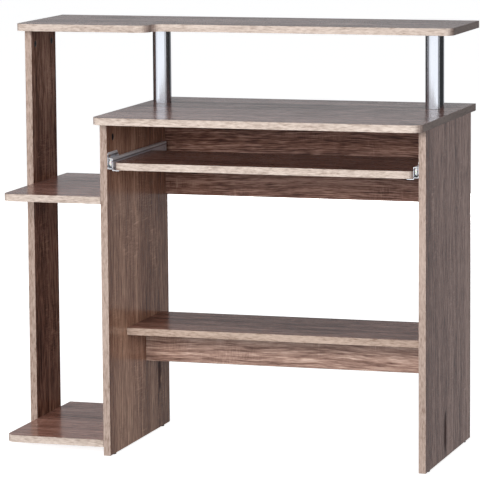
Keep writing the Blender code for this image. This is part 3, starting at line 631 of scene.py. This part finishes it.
# %% Zinc and blackened zinc
CRYSTALS = 700.0                # per metre
CRYSTAL_WEIGHT = 0.5
SHADE_WEIGHT = 0.6
ZINC_STOPS = [(0.2, (0.30, 0.30, 0.32)), (0.8, (0.56, 0.57, 0.60))]
ZINC_SHADE = ((400.0, 400.0, 400.0), 3.0)
ZINC_ROUGHNESS = (0.2, 0.28)    # spread, and least
ZINC_RELIEF = 0.00003
BLACK_ZINC = ((0.020, 0.019, 0.020), (0.070, 0.068, 0.070))
BLACK_ZINC_ROUGHNESS = (0.2, 0.38)
BLACK_METAL = 0.6
RUBBED_SPOTS = ((160.0, 160.0, 160.0), 3.0)
RUBBED_EDGE = (0.55, 0.75)
GRIT = ((900.0, 900.0, 900.0), 3.0)
GRIT_RELIEF = 0.00004


def make_zinc():
    made, net, shader = finish_material("zinc")
    place = net.place()
    crystals = net.node("TexVoronoi", feature="F1")
    net.put(crystals.inputs["Vector"], place)
    crystals.inputs["Scale"].default_value = CRYSTALS
    shade = net.noise(place, *ZINC_SHADE)
    tone = net.math("ADD", net.math("MULTIPLY", crystals.outputs["Distance"], CRYSTAL_WEIGHT),
                    net.math("MULTIPLY", shade, SHADE_WEIGHT))
    net.put(shader["Base Color"], net.ramp(tone, ZINC_STOPS))
    net.put(shader["Roughness"], net.math("MULTIPLY_ADD", shade, *ZINC_ROUGHNESS))
    shader["Metallic"].default_value = 1.0
    net.put(shader["Normal"], net.bump(shade, ZINC_RELIEF))
    return made


def make_black_zinc():
    made, net, shader = finish_material("black_zinc")
    place = net.place()
    grit = net.noise(place, *GRIT)
    patchy = net.span(net.noise(place, *RUBBED_SPOTS), *RUBBED_EDGE)
    net.put(shader["Base Color"], net.mix(patchy, *BLACK_ZINC))
    net.put(shader["Roughness"], net.math("MULTIPLY_ADD", grit, *BLACK_ZINC_ROUGHNESS))
    shader["Metallic"].default_value = BLACK_METAL
    net.put(shader["Normal"], net.bump(grit, GRIT_RELIEF))
    return made


give(make_black_zinc(), parts_named("cam_"))
give(make_zinc(), parts_named("tube_bolt_", "tube_stud_")
     + [name for name in NODES if "_axle_" in name or "_screw_" in name])

# %% [markdown]
# # Studio floor
#
# A studio floor is white paper that runs out of sight. One big face is enough. It glows a little by
# itself, so it stays white under the desk, and it is left out of bounced light, so that the room
# alone sets how bright the desk's underside and shiny parts are.

# %% Floor
HALF_FLOOR = 30.0
PAPER = ((0.80, 0.80, 0.80), (0.84, 0.84, 0.84))
PAPER_CLOUD = ((3.0, 3.0, 1.0), 2.0)
PAPER_ROUGHNESS = (0.1, 0.8)    # spread, and least
FLOOR_GLOW = 0.84


def make_floor():
    """A square as a single face, which takes the desk's shadow."""
    mesh = bpy.data.meshes.new("floor")
    corners = [(-1, -1), (1, -1), (1, 1), (-1, 1)]
    mesh.from_pydata([(HALF_FLOOR * x, HALF_FLOOR * y, 0) for x, y in corners], [], [(0, 1, 2, 3)])
    made = bpy.data.objects.new("floor", mesh)
    bpy.context.scene.collection.objects.link(made)
    paper, net, shader = finish_material("floor_paper")
    cloud = net.noise(net.place(), *PAPER_CLOUD)
    net.put(shader["Base Color"], net.mix(cloud, *PAPER))
    net.put(shader["Roughness"], net.math("MULTIPLY_ADD", cloud, *PAPER_ROUGHNESS))
    shader["Specular IOR Level"].default_value = 0.0
    shader["Emission Color"].default_value = (1.0, 1.0, 1.0, 1.0)
    shader["Emission Strength"].default_value = FLOOR_GLOW
    mesh.materials.append(paper)
    made.visible_diffuse = False
    made.visible_glossy = False
    return made


make_floor()
print(f"floor {2 * HALF_FLOOR:.0f} m wide")

# %% [markdown]
# # Studio room
#
# Shiny parts show the room, so the room is drawn by direction instead of as one flat grey. A bright
# wall stands in front of the desk, with a dimmer wall to the left, a ceiling, and paper below. Behind
# the desk there is an opening, and a low patch of light to the right of it, which is called the
# shoulder. The rest is dark, and draws the dark edges that round metal shows in a studio. The wall
# lights dull surfaces only in part, because the soft boxes do most of that.

# %% Room
WALL_GLOW = 1.28
WALL_FILL = 0.40                # share of the wall's glow that lights dull surfaces
PAPER_GLOW = 0.20
CEILING_GLOW = 0.12
SIDE_WALL_GLOW = 0.25
OPENING_GLOW = 0.44
SHOULDER_GLOW = 0.26
DARK_GLOW = 0.035
ROOM_TINT = (0.95, 0.97, 1.0, 1.0)
# turns, in radians from the front and + to the right, over which a wall fades in or out
WALL_LEFT = (-1.30, -0.75)
WALL_RIGHT = (1.20, 0.94)
SIDE_WALL_LEFT = (-2.1, -1.4)
SIDE_WALL_RIGHT = (-0.75, -1.30)
# heights, as the upward part of a direction
WALL_TOP = (0.65, 0.30)
WALL_FOOT = (-0.30, -0.17)
CEILING = (0.55, 0.85)
PAPER_BELOW = (-0.28, -0.45)
OPENING_FOOT = (-0.05, 0.02)
SHOULDER_TOP = (0.10, 0.0)
# headings, as the part of a direction that points one way
OPENING_EDGE = (0.88, 0.97)
SHOULDER_EDGE = (0.90, 0.98)
OPENING_WAY = (-math.sin(CAMERA_TURN), math.cos(CAMERA_TURN))
SHOULDER_WAY = (math.sin(CAMERA_TURN), math.cos(CAMERA_TURN))


def heading(net, x, y, way):
    """How much a direction points one way: x times the way's x, plus y times its y."""
    return net.math("ADD", net.math("MULTIPLY", x, way[0]), net.math("MULTIPLY", y, way[1]))


def make_room():
    """Glow by direction: each stretch is a product of soft steps, and the stretches add up."""
    world = bpy.data.worlds.new("room")
    world.use_nodes = True
    bpy.context.scene.world = world
    net = Net(world.node_tree)
    x, y, z = net.split(net.node("TexCoord").outputs["Generated"])
    turn = net.math("ARCTAN2", x, net.math("MULTIPLY", y, -1.0))
    upright = net.math("MULTIPLY", net.span(z, *WALL_TOP), net.span(z, *WALL_FOOT))
    wall = net.math("MULTIPLY", net.span(turn, *WALL_LEFT), net.span(turn, *WALL_RIGHT))
    wall = net.math("MULTIPLY", wall, upright)
    soft = net.node("LightPath").outputs["Is Diffuse Ray"]
    wall = net.math("MULTIPLY", wall, net.math("MULTIPLY_ADD", soft, WALL_FILL - 1.0, 1.0))
    side_wall = net.math("MULTIPLY", net.span(turn, *SIDE_WALL_LEFT), net.span(turn, *SIDE_WALL_RIGHT))
    opening = net.span(heading(net, x, y, OPENING_WAY), *OPENING_EDGE)
    opening = net.math("MULTIPLY", opening, net.span(z, *OPENING_FOOT))
    shoulder = net.span(heading(net, x, y, SHOULDER_WAY), *SHOULDER_EDGE)
    shoulder = net.math("MULTIPLY", shoulder, net.span(z, *SHOULDER_TOP))
    glow = net.math("MULTIPLY_ADD", wall, WALL_GLOW, DARK_GLOW)
    for stretch, strength in ((shoulder, SHOULDER_GLOW), (net.span(z, *CEILING), CEILING_GLOW),
                              (net.span(z, *PAPER_BELOW), PAPER_GLOW), (side_wall, SIDE_WALL_GLOW),
                              (opening, OPENING_GLOW)):
        glow = net.math("MULTIPLY_ADD", stretch, strength, glow)
    background = world.node_tree.nodes["Background"].inputs
    background["Color"].default_value = ROOM_TINT
    net.put(background["Strength"], glow)
    return world


print("room:", len(make_room().node_tree.nodes), "nodes")

# %% [markdown]
# # Soft boxes
#
# Five soft boxes light the boards. The key stands in front, a little to the left. One on each side
# and one behind brighten the outer faces, and a weak one hangs above. They are hidden from shiny
# parts, which show the room instead, so the boards can be lit without bright squares on the posts.

# %% Soft boxes
AIM = Vector((0.0, 0.0, 0.5))
SOFT_BOXES = {                  # place, size in metres, power in watts
    "key": ((-0.2, -4.7, 1.6), (2.2, 1.4), 190),
    "right": ((4.2, -2.0, 1.2), (1.6, 1.4), 26),
    "top": ((0.0, -0.6, 3.4), (2.0, 2.0), 4),
    "left": ((-4.5, 0.4, 0.6), (2.0, 1.4), 75),
    "back": ((-0.4, 4.6, 0.5), (2.2, 1.4), 75),
}


def soft_box(name, place, size, power):
    """Rectangular soft box aimed at the middle of the desk."""
    light = bpy.data.lights.new(name, "AREA")
    light.shape = "RECTANGLE"
    light.size, light.size_y = size
    light.energy = power
    made = bpy.data.objects.new(name, light)
    made.location = place
    made.rotation_euler = (AIM - Vector(place)).to_track_quat("-Z", "Y").to_euler()
    made.visible_glossy = False
    bpy.context.scene.collection.objects.link(made)


for name, (place, size, power) in SOFT_BOXES.items():
    soft_box(name, place, size, power)
bpy.context.scene.view_settings.view_transform = "Standard"
print(len(SOFT_BOXES), "soft boxes")

# %% [markdown]
# # Finish
#
